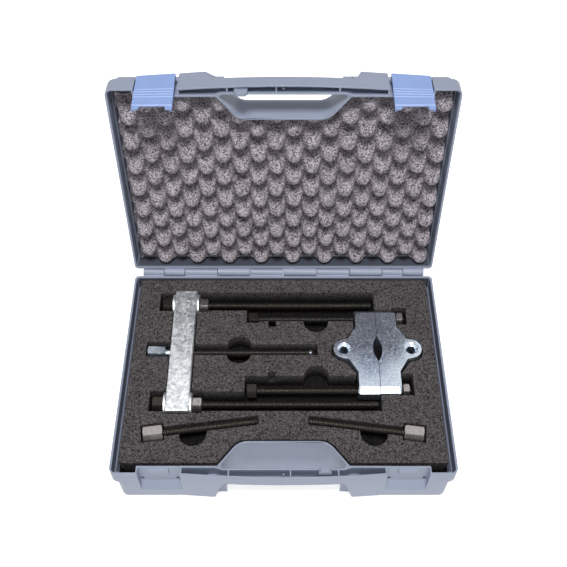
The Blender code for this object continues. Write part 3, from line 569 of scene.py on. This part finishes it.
def group_zinc_spangle():
    """Zinc flakes: one shade per cell, with fine streaks and handling smears."""
    if "Zinc spangle" in bpy.data.node_groups:
        return bpy.data.node_groups["Zinc spangle"]
    tree, inner, outer = new_group(
        "Zinc spangle",
        [("Vector", "NodeSocketVector", None), ("Density", "NodeSocketFloat", 130.0)],
        [("Shade", "NodeSocketFloat"), ("Rough", "NodeSocketFloat"), ("Height", "NodeSocketFloat")],
    )
    links = tree.links
    warp = add_node(tree, "ShaderNodeTexNoise", {"Scale": 90.0, "Detail": 2.0})
    links.new(inner.outputs["Vector"], warp.inputs["Vector"])
    bend = add_node(tree, "ShaderNodeVectorMath", operation="MULTIPLY_ADD")
    links.new(warp.outputs["Color"], bend.inputs[0])
    bend.inputs[1].default_value = (0.004, 0.004, 0.004)
    links.new(inner.outputs["Vector"], bend.inputs[2])
    flake = add_node(tree, "ShaderNodeTexVoronoi", feature="F1")
    links.new(bend.outputs["Vector"], flake.inputs["Vector"])
    links.new(inner.outputs["Density"], flake.inputs["Scale"])
    pick = add_node(tree, "ShaderNodeSeparateColor")
    links.new(flake.outputs["Color"], pick.inputs["Color"])
    smear = add_node(tree, "ShaderNodeTexNoise", {"Scale": 38.0, "Detail": 4.0, "Roughness": 0.6})
    links.new(inner.outputs["Vector"], smear.inputs["Vector"])
    fine = add_node(tree, "ShaderNodeTexNoise", {"Scale": 900.0, "Detail": 3.0})
    links.new(inner.outputs["Vector"], fine.inputs["Vector"])
    smears = ramp(tree, smear.outputs["Fac"], 0.3, 0.7)
    links.new(weighted(tree, pick.outputs[0], 0.8, smears, 0.2), outer.inputs["Shade"])
    links.new(weighted(tree, pick.outputs[1], 0.16, smears, 0.04), outer.inputs["Rough"])
    links.new(fine.outputs["Fac"], outer.inputs["Height"])
    return tree


def group_surface_grain():
    """Fine even grain with a slow drift, for moulded plastic and blackened steel."""
    if "Surface grain" in bpy.data.node_groups:
        return bpy.data.node_groups["Surface grain"]
    tree, inner, outer = new_group(
        "Surface grain",
        [("Vector", "NodeSocketVector", None), ("Density", "NodeSocketFloat", 1400.0)],
        [("Drift", "NodeSocketFloat"), ("Speck", "NodeSocketFloat"), ("Height", "NodeSocketFloat")],
    )
    links = tree.links
    fine = add_node(tree, "ShaderNodeTexNoise", {"Detail": 3.0, "Roughness": 0.6})
    links.new(inner.outputs["Vector"], fine.inputs["Vector"])
    links.new(inner.outputs["Density"], fine.inputs["Scale"])
    slow = add_node(tree, "ShaderNodeTexNoise", {"Scale": 22.0, "Detail": 5.0, "Roughness": 0.65})
    links.new(inner.outputs["Vector"], slow.inputs["Vector"])
    links.new(ramp(tree, slow.outputs["Fac"], 0.3, 0.7), outer.inputs["Drift"])
    links.new(ramp(tree, fine.outputs["Fac"], 0.35, 0.68), outer.inputs["Speck"])
    links.new(fine.outputs["Fac"], outer.inputs["Height"])
    return tree


def start_material(name, group, density):
    """A material with a shared group placed on Object coordinates."""
    material = bpy.data.materials.new(name)
    material.use_nodes = True
    tree = material.node_tree
    shader = tree.nodes["Principled BSDF"]
    where = tree.nodes.new("ShaderNodeTexCoord")
    effect = tree.nodes.new("ShaderNodeGroup")
    effect.node_tree = group
    effect.inputs["Density"].default_value = density
    tree.links.new(where.outputs["Object"], effect.inputs["Vector"])
    return material, tree, shader, effect


def two_tones(tree, shader, value, dark, light):
    """Base colour mixed from two tones by a value."""
    mix = add_node(tree, "ShaderNodeMix", data_type="RGBA")
    mix.inputs[6].default_value = (*dark, 1.0)
    mix.inputs[7].default_value = (*light, 1.0)
    tree.links.new(value, mix.inputs[0])
    tree.links.new(mix.outputs[2], shader.inputs["Base Color"])


def bump(tree, shader, height, strength, distance):
    """A bump from a height, in metres."""
    made = add_node(tree, "ShaderNodeBump", {"Strength": strength, "Distance": distance})
    tree.links.new(height, made.inputs["Height"])
    tree.links.new(made.outputs["Normal"], shader.inputs["Normal"])


def shift(tone, scale):
    """A colour made lighter or darker."""
    return tuple(min(1.0, c * scale) for c in tone)


def plastic(name, tone, rough):
    """Moulded plastic: fine grain, slight drift of tone and gloss."""
    material, tree, shader, effect = start_material(name, group_surface_grain(), 1500.0)
    two_tones(tree, shader, effect.outputs["Drift"], shift(tone, 0.94), shift(tone, 1.05))
    gloss = add_node(tree, "ShaderNodeMapRange", {"To Min": rough - 0.04, "To Max": rough + 0.06})
    tree.links.new(effect.outputs["Drift"], gloss.inputs["Value"])
    tree.links.new(gloss.outputs["Result"], shader.inputs["Roughness"])
    bump(tree, shader, effect.outputs["Height"], 0.12, 0.0002)
    return material


def foam(name, tone, cell):
    """Open-cell foam: dark and light cells side by side, with no gloss."""
    material, tree, shader, effect = start_material(name, group_foam_cells(), 1.0 / cell)
    two_tones(tree, shader, effect.outputs["Shade"], shift(tone, 0.08), shift(tone, 2.0))
    shader.inputs["Roughness"].default_value = 0.95
    shader.inputs["Specular IOR Level"].default_value = 0.15
    bump(tree, shader, effect.outputs["Height"], 0.7, 0.0009)
    return material


def zinc(name, tone, density, rough, spread):
    """Zinc plated steel with flakes; spread holds the darkest and lightest flake."""
    material, tree, shader, effect = start_material(name, group_zinc_spangle(), density)
    two_tones(tree, shader, effect.outputs["Shade"], shift(tone, spread[0]), shift(tone, spread[1]))
    shader.inputs["Metallic"].default_value = 0.95
    tree.links.new(math_node(tree, "ADD", effect.outputs["Rough"], rough), shader.inputs["Roughness"])
    bump(tree, shader, effect.outputs["Height"], 0.12, 0.0001)
    return material


def blackened(name, tone, metallic, rough):
    """Blackened or dark steel with lighter rubbed specks."""
    material, tree, shader, effect = start_material(name, group_surface_grain(), 900.0)
    two_tones(tree, shader, effect.outputs["Speck"], shift(tone, 0.7), shift(tone, 1.5))
    shader.inputs["Metallic"].default_value = metallic
    gloss = add_node(tree, "ShaderNodeMapRange", {"To Min": rough - 0.08, "To Max": rough + 0.1})
    tree.links.new(effect.outputs["Drift"], gloss.inputs["Value"])
    tree.links.new(gloss.outputs["Result"], shader.inputs["Roughness"])
    bump(tree, shader, effect.outputs["Height"], 0.15, 0.0001)
    return material


# Painted shade inside the case and deep in the foams

def measure(tree, axis, offset=0.0, source="Object"):
    """A surface point's place, or its normal, along an axis, plus an offset."""
    dot = add_node(tree, "ShaderNodeVectorMath", operation="DOT_PRODUCT")
    dot.inputs[1].default_value = axis
    tree.links.new(tree.nodes["Texture Coordinate"].outputs[source], dot.inputs[0])
    return math_node(tree, "ADD", dot.outputs["Value"], offset)


def inward(tree, place_at, axis):
    """How far a surface faces the case's middle along an axis, from minus one to one."""
    facing = measure(tree, axis, source="Normal")
    toward = math_node(tree, "MULTIPLY", math_node(tree, "SIGN", place_at, 0.0), -1.0)
    return math_node(tree, "MULTIPLY", facing, toward)


def case_axes(half):
    """Depth under the rim and place along Y of a case half, each as an axis and an offset."""
    if half == "base":
        return ((0.0, 0.0, -1.0), RIM_PLANE), ((0.0, 1.0, 0.0), 0.0)
    cos, sin = math.cos(LID_SWING), math.sin(LID_SWING)
    _, y, z = HINGE
    depth = ((0.0, -sin, cos), sin * y - cos * z + z - RIM_PLANE)
    along = ((0.0, cos, sin), y - cos * y - sin * z)
    return depth, along


def darken(tree, shader, mask, share):
    """Multiplies the base colour by a share where the mask is one."""
    plain = shader.inputs["Base Color"].links[0].from_socket
    mix = add_node(tree, "ShaderNodeMix", data_type="RGBA", blend_type="MULTIPLY")
    mix.inputs[7].default_value = (share, share, share, 1.0)
    tree.links.new(mask, mix.inputs[0])
    tree.links.new(plain, mix.inputs[6])
    tree.links.new(mix.outputs[2], shader.inputs["Base Color"])


def paint_depth_shade(material, half, shallow, deep, share):
    """Paints shade on a foam: darkens it from one depth under the rim to another."""
    tree = material.node_tree
    depth = measure(tree, *case_axes(half)[0])
    darken(tree, tree.nodes["Principled BSDF"], ramp(tree, depth, shallow, deep), share)


def paint_inner_shade(material, half, share):
    """Paints shade on the inner walls and ledges of a case half, apart from its finger well, by
    darkening their colour.
    """
    tree = material.node_tree
    depth_axis, along_axis = case_axes(half)
    right = (1.0, 0.0, 0.0)
    x = measure(tree, right)
    across = math_node(tree, "ABSOLUTE", x, 0.0)
    along = measure(tree, *along_axis)
    facing = math_node(tree, "MAXIMUM", inward(tree, x, right), inward(tree, along, along_axis[0]))
    to_mouth = math_node(tree, "MULTIPLY", measure(tree, depth_axis[0], source="Normal"), -1.0)
    facing = math_node(tree, "MAXIMUM", facing, to_mouth)
    mask = ramp(tree, measure(tree, *depth_axis), *RIM_FADE)
    mask = math_node(tree, "MULTIPLY", mask, ramp(tree, facing, *FACING_FADE))
    for place_at, fade in ((across, SIDE_FADE), (along, FRONT_FADE), (along, BACK_FADE)):
        mask = math_node(tree, "MULTIPLY", mask, ramp(tree, place_at, *fade))
    beside = ramp(tree, across, *WELL_SIDE_FADE)
    behind = ramp(tree, along, *WELL_BACK_FADE)
    mask = math_node(tree, "MULTIPLY", mask, math_node(tree, "MAXIMUM", beside, behind))
    darken(tree, tree.nodes["Principled BSDF"], mask, share)


# Pieces

def packed_points(node):
    """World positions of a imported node's vertices."""
    obj = frame["nodes"][node]
    flat = np.empty(len(obj.data.vertices) * 3, np.float32)
    obj.data.vertices.foreach_get("co", flat)
    matrix = np.array(obj.matrix_world)
    return flat.reshape(-1, 3).astype(float) @ matrix[:3, :3].T + matrix[:3, 3]


def lid_front_edge(x):
    """Front edge of the lid foam at x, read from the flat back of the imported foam."""
    drawn = lid_drawn(packed_points("lid_foam"))
    flat = drawn[drawn[:, 2] > drawn[:, 2].max() - 0.0002]
    front = flat[flat[:, 1] < -0.09]
    order = np.lexsort((front[:, 1], front[:, 0]))
    return np.interp(x, front[order, 0], front[order, 1])


def lid_foam_shape():
    """The egg-crate foam as a closed surface drawn on the lid.

    Depth is the mean depth less half the swing times a wave: the tanh of cos(2 pi x / pitch)
    times cos(2 pi y / pitch), so blunt bumps and hollows alternate like a chequerboard. Each
    bump leans down in proportion to its height, and a small sum of sines loosens the pattern.
    The front edge follows the well and the corner tabs. A flat back and a skirt round the rim
    close the surface.
    """
    looks = props().foams
    side, back_y = LID_FOAM_SIDE, LID_FOAM_BACK
    x = np.linspace(-side, side, int(2 * side / looks.step) + 1)
    jump = np.array(TAB_EDGE)
    x = np.unique(np.concatenate([x, jump, -jump]))
    front = lid_front_edge(x)
    v = np.linspace(0, 1, int(LID_FOAM_REACH / looks.step) + 1)
    y = front[:, None] + v[None, :] * (back_y - front)[:, None]
    xx = np.broadcast_to(x[:, None], y.shape)
    turn = 2 * math.pi
    across = np.cos(turn * (xx - looks.bump_x) / looks.pitch_x)
    along = np.cos(turn * (y - looks.bump_y) / looks.pitch_y)
    wave = np.tanh(BLUNT * across * along) / math.tanh(BLUNT)
    loose = np.sin(61 * xx + 1.3) * np.sin(47 * y + 0.4) + np.sin(143 * xx + 88 * y)
    mean, swing = (looks.peak + looks.valley) / 2, (looks.valley - looks.peak) / 2
    depth = mean - swing * wave + LOOSE_SWING * loose
    depth = np.maximum(depth, looks.peak + PEAK_GAP)
    inside = np.sin(math.pi * v)[None, :] ** 0.25
    sag = looks.sag * (looks.valley - depth) * inside
    crown = np.stack([xx, np.minimum(y + sag, back_y), depth], axis=-1)
    flat = np.stack([xx, y, np.full(y.shape, looks.back)], axis=-1)
    rows, cols = y.shape
    count = rows * cols
    top = grid_quads(rows, cols, wrap_cols=False)[:, ::-1]
    low = grid_quads(rows, cols, wrap_cols=False) + count
    index = np.arange(count).reshape(rows, cols)
    loop = np.concatenate([index[:-1, 0], index[-1, :-1], index[:0:-1, -1], index[0, :0:-1]])
    ahead = np.roll(loop, -1)
    skirt = np.column_stack([loop, loop + count, ahead + count, ahead])
    verts = np.vstack([crown.reshape(-1, 3), flat.reshape(-1, 3)])
    faces = np.vstack([top, low, skirt[:, ::-1]])
    return lid_place(verts), faces.tolist()


def rod_line(node):
    """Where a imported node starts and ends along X, and the Y of its axis."""
    low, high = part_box(node)
    return low[0], high[0], (low[1] + high[1]) / 2


class SEPSET_OT_stage(bpy.types.Operator):
    """Makes the floor, the lights and the camera at the photograph's angle"""

    bl_idname = "sepset.stage"
    bl_label = "Stage"

    def execute(self, context):
        looks = props().stage
        scene = context.scene
        scene.view_settings.view_transform = "Standard"
        camera = bpy.data.cameras.new("camera")
        camera.lens = looks.lens
        camera.sensor_width = 36.0
        camera.shift_y = looks.shift
        camera.clip_start = 0.02
        camera.clip_end = 50.0
        holder = bpy.data.objects.new("camera", camera)
        holder.location = (0.0, looks.camera_y, looks.camera_z)
        holder.rotation_euler = (looks.pitch, 0.0, 0.0)
        scene.collection.objects.link(holder)
        scene.camera = holder
        self.floor(looks)
        self.world(scene, looks)
        self.lamp("key light", KEY_AT, KEY_AIM, LAMP_SIZE, looks.key)
        self.lamp("front light", FRONT_AT, FRONT_AIM, LAMP_SIZE, looks.fill)
        return {"FINISHED"}

    def lamp(self, name, where, aim, size, power):
        """A square soft light aimed at a point."""
        light = bpy.data.lights.new(name, "AREA")
        light.size = size
        light.energy = power
        holder = bpy.data.objects.new(name, light)
        holder.location = where
        way = Vector(aim) - Vector(where)
        holder.rotation_euler = way.to_track_quat("-Z", "Y").to_euler()
        bpy.context.scene.collection.objects.link(holder)

    def floor(self, looks):
        """A wide pale floor that shows white to the camera but keeps the shadow."""
        half = FLOOR_HALF
        corners = [(-half, -half, 0), (half, -half, 0), (half, half, 0), (-half, half, 0)]
        mesh = bpy.data.meshes.new("floor")
        mesh.from_pydata(corners, [], [[0, 1, 2, 3]])
        obj = bpy.data.objects.new("floor", mesh)
        bpy.context.scene.collection.objects.link(obj)
        material = bpy.data.materials.new("floor")
        material.use_nodes = True
        tree = material.node_tree
        shader = tree.nodes["Principled BSDF"]
        shader.inputs["Base Color"].default_value = (*looks.floor_colour, 1.0)
        shader.inputs["Roughness"].default_value = 0.9
        shader.inputs["Emission Color"].default_value = (1.0, 1.0, 1.0, 1.0)
        seen = seen_directly(tree)
        tree.links.new(math_node(tree, "MULTIPLY", seen, FLOOR_GLOW), shader.inputs["Emission Strength"])
        mesh.materials.append(material)

    def world(self, scene, looks):
        """Even light, white to the camera and to reflections."""
        world = bpy.data.worlds.new("studio")
        world.use_nodes = True
        tree = world.node_tree
        back = tree.nodes["Background"]
        back.inputs["Color"].default_value = (1.0, 1.0, 1.0, 1.0)
        seen = seen_directly(tree)
        extra = math_node(tree, "MULTIPLY", seen, 1.0 - looks.world)
        tree.links.new(math_node(tree, "ADD", extra, looks.world), back.inputs["Strength"])
        scene.world = world


class SEPSET_OT_case(bpy.types.Operator):
    """Dresses both case halves, the latches and the small pins"""

    bl_idname = "sepset.case"
    bl_label = "Case, latches and pins"

    def execute(self, context):
        looks = props().case
        blue = plastic("latch plastic", looks.latch_colour, looks.latch_rough)
        for half, body in (("base", "case_base"), ("lid", "lid")):
            shell = plastic(half + " shell plastic", looks.shell_colour, looks.shell_rough)
            # Painted shade: the shell's inner walls and ledges are darkened
            paint_inner_shade(shell, half, looks.painted_wall_shade)
            node = half + "_shell"
            softened(node + "_moulded", [node], shell, body, looks.edge, clamp=False)
        for side in ("left", "right"):
            node = "latch_" + side
            softened(node + "_flap", [node], blue, node, looks.edge * 0.7)
        steel = blackened("pin steel", PIN_COLOUR, 0.85, 0.4)
        for node in ("hinge_pin_left", "hinge_pin_right", "latch_pin_left", "latch_pin_right"):
            frame["nodes"][node].material_slots[0].material = steel
        return {"FINISHED"}


class SEPSET_OT_foams(bpy.types.Operator):
    """Makes the fitted base foam and the egg-crate lid foam"""

    bl_idname = "sepset.foams"
    bl_label = "Foams"

    def execute(self, context):
        looks = props().foams
        dark = foam("charcoal foam", looks.base_colour, looks.cell)
        grey = foam("grey foam", looks.lid_colour, looks.cell)
        # Painted shade: the foams are darkened deeper in the pockets and hollows
        paint_depth_shade(dark, "base", *POCKET_SHADE_DEPTHS, looks.painted_pocket_shade)
        paint_depth_shade(grey, "lid", looks.peak + CROWN_SHADE_DEPTH, looks.valley, looks.painted_hollow_shade)
        layers = {
            "floor": ["floor"],
            "island": ["island"],
            "tray": ["tray", "front_left", "front_right"],
        }
        for label, parts in layers.items():
            nodes = ["base_foam_" + part for part in parts]
            seams = FOAM_SEAMS if len(parts) > 1 else ()
            name = "base_foam_cut_" + label
            cut = softened(name, nodes, dark, "case_base", FOAM_EDGE, seams=seams)
        lid = piece("lid_foam_egg_crate", lid_foam_shape(), grey, "lid", ["lid_foam"], 60)
        return {"FINISHED"}


class SEPSET_OT_forgings(bpy.types.Operator):
    """Dresses the crossbar and the two separator halves"""

    bl_idname = "sepset.forgings"
    bl_label = "Crossbar and separator halves"

    def execute(self, context):
        tools = props().tools
        bar = zinc("bar zinc", tools.bar_colour, 1.0 / tools.spangle, 0.3, (0.6, 1.2))
        softened("crossbar_plated", ["crossbar"], bar, "puller", BAR_EDGE)
        forged = zinc("jaw zinc", tools.jaw_colour, 2.0 / tools.spangle, 0.09, (0.8, 1.15))
        for side in ("left", "right"):
            node = "separator_jaw_" + side
            softened(node + "_plated", [node], forged, "separator", JAW_EDGE)
        return {"FINISHED"}


class SEPSET_OT_rods(bpy.types.Operator):
    """Makes the threaded rods, tie bolts, spindle and short screws with their heads"""

    bl_idname = "sepset.rods"
    bl_label = "Threaded rods"

    def execute(self, context):
        tools = props().tools
        black = blackened("black oxide", tools.black_colour, 0.7, 0.34)
        dark = blackened("dark steel", tools.screw_colour, 0.95, 0.24)
        bright = zinc("spindle zinc", shift(tools.jaw_colour, 0.7), 400.0, 0.15, (0.7, 1.1))
        for label in ("upper", "lower"):
            self.rod("pull_rod_" + label, LARGE_HEXAGON, PULL_ROD_HEAD, black)
        for label in ("upper", "lower"):
            self.rod("tie_bolt_" + label, SMALL_HEXAGON, TIE_BOLT_HEAD, black)
        self.spindle(black, bright)
        for side in ("left", "right"):
            self.short_screw("short_screw_" + side, black, dark)
        return {"FINISHED"}

    def rod(self, node, across, head, steel):
        """A rod with a hexagon head and a thread along the rest of it."""
        start, end, y = rod_line(node)
        shank = start + head
        shape = stack([
            hex_block(start, shank, across, y, AXIS_Z),
            thread(shank - SINK, end, ROD_RADIUS, props().tools.rod_pitch, y, AXIS_Z),
        ])
        piece(node + "_threaded", shape, steel, node, [node])

    def spindle(self, black, bright):
        """The pressure spindle: a bright hexagon head with its neck, and a dark thread."""
        node = "pressure_spindle"
        start, end, y = rod_line(node)
        head = start + SPINDLE_HEAD
        neck = head + NECK_LENGTH
        collar = [(head - SINK, NECK_RADIUS), (neck, NECK_RADIUS)]
        block = hex_block(start, head, SMALL_HEXAGON, y, AXIS_Z)
        top = stack([block, lathe(collar, y, AXIS_Z)])
        piece(node + "_head", top, bright, node, [node])
        shank = thread(neck - SINK, end, SPINDLE_RADIUS, props().tools.spindle_pitch, y, AXIS_Z)
        piece(node + "_thread", shank, black, node, [node])

    def short_screw(self, node, black, dark):
        """A short screw, made along X and then turned to the line of its pocket."""
        mirror = np.array([-1.0 if node.endswith("left") else 1.0, 1.0])
        head = mirror * SCREW_HEAD
        tip = mirror * SCREW_TIP
        reach = float(np.linalg.norm(tip - head))
        way = (tip - head) / reach
        block = hex_block(-SCREW_HEAD_HALF, SCREW_HEAD_HALF, LARGE_HEXAGON)
        shank = thread(SCREW_HEAD_HALF - SINK, reach, ROD_RADIUS, props().tools.rod_pitch)
        for label, (verts, faces), steel in (("_head", block, dark), ("_thread", shank, black)):
            turned = np.column_stack([
                head[0] + verts[:, 0] * way[0] - verts[:, 1] * way[1],
                head[1] + verts[:, 0] * way[1] + verts[:, 1] * way[0],
                SCREW_Z + verts[:, 2],
            ])
            piece(node + label, (turned, faces), steel, node, [node])


class SEPSET_OT_fittings(bpy.types.Operator):
    """Makes the nuts, the washers and the spindle's pressure pad"""

    bl_idname = "sepset.fittings"
    bl_label = "Nuts, washers and pad"

    def execute(self, context):
        tools = props().tools
        bright = zinc("bright zinc", tools.washer_colour, 500.0, 0.3, (0.85, 1.15))
        dark = blackened("nut steel", tools.screw_colour, 0.95, 0.26)
        tip = zinc("tip zinc", shift(tools.jaw_colour, 0.25), 500.0, 0.3, (0.85, 1.15))
        for label in ("upper", "lower"):
            for prefix, body in (("nut_", "nut_"), ("tie_nut_", "tie_bolt_")):
                self.nut(prefix + label, body + label, dark)
            for end, body in (("head", "puller"), ("nut", "nut_washer_" + label)):
                self.washer("washer_" + label + "_" + end, body, bright)
        self.pad("pressure_pad", tip)
        return {"FINISHED"}

    def nut(self, node, body, steel):
        """A hexagon nut with a plain bore."""
        start, end, y = rod_line(node)
        shape = hex_block(start, end, SMALL_HEXAGON, y, AXIS_Z, bore=NUT_BORE)
        piece(node + "_hexagon", shape, steel, body, [node])

    def washer(self, node, body, steel):
        """A flat washer with soft corners."""
        start, end, y = rod_line(node)
        shape = washer_ring(start, end, WASHER_RADIUS, WASHER_BORE, y, AXIS_Z)
        piece(node + "_ring", shape, steel, body, [node], 40)

    def pad(self, node, steel):
        """The round-nosed pad at the spindle's end."""
        start, _, y = rod_line(node)
        profile = [(start + x, radius) for x, radius in PAD_PROFILE]
        piece(node + "_turned", lathe(profile, y, AXIS_Z), steel, node, [node])


class SeparatorSet(bpy.types.PropertyGroup):
    """All the values of the set."""

    case: PointerProperty(type=CaseLooks)
    foams: PointerProperty(type=FoamLooks)
    tools: PointerProperty(type=ToolLooks)
    stage: PointerProperty(type=StageLooks)


OPERATORS = (
    SEPSET_OT_stage,
    SEPSET_OT_case,
    SEPSET_OT_foams,
    SEPSET_OT_forgings,
    SEPSET_OT_rods,
    SEPSET_OT_fittings,
)


class SEPSET_PT_panel(bpy.types.Panel):
    """Buttons for each group of pieces and the values behind them"""

    bl_idname = "SEPSET_PT_panel"
    bl_label = "Separator Set"
    bl_space_type = "VIEW_3D"
    bl_region_type = "UI"
    bl_category = "Separator Set"

    def draw(self, context):
        for operator in OPERATORS:
            self.layout.operator(operator.bl_idname)
        for group in (props().case, props().foams, props().tools, props().stage):
            box = self.layout.box()
            for key in group.bl_rna.properties.keys():
                if key not in {"rna_type", "name"}:
                    box.prop(group, key)


CLASSES = (CaseLooks, FoamLooks, ToolLooks, StageLooks, SeparatorSet, *OPERATORS, SEPSET_PT_panel)


def register():
    for cls in CLASSES:
        bpy.utils.register_class(cls)
    bpy.types.Scene.separator_set = PointerProperty(type=SeparatorSet)


def unregister():
    del bpy.types.Scene.separator_set
    for cls in reversed(CLASSES):
        bpy.utils.unregister_class(cls)


def main():
    register()
    bpy.ops.sepset.stage()
    bpy.ops.sepset.case()
    bpy.ops.sepset.foams()
    bpy.ops.sepset.forgings()
    bpy.ops.sepset.rods()
    bpy.ops.sepset.fittings()


if __name__ == "__main__":
    main()
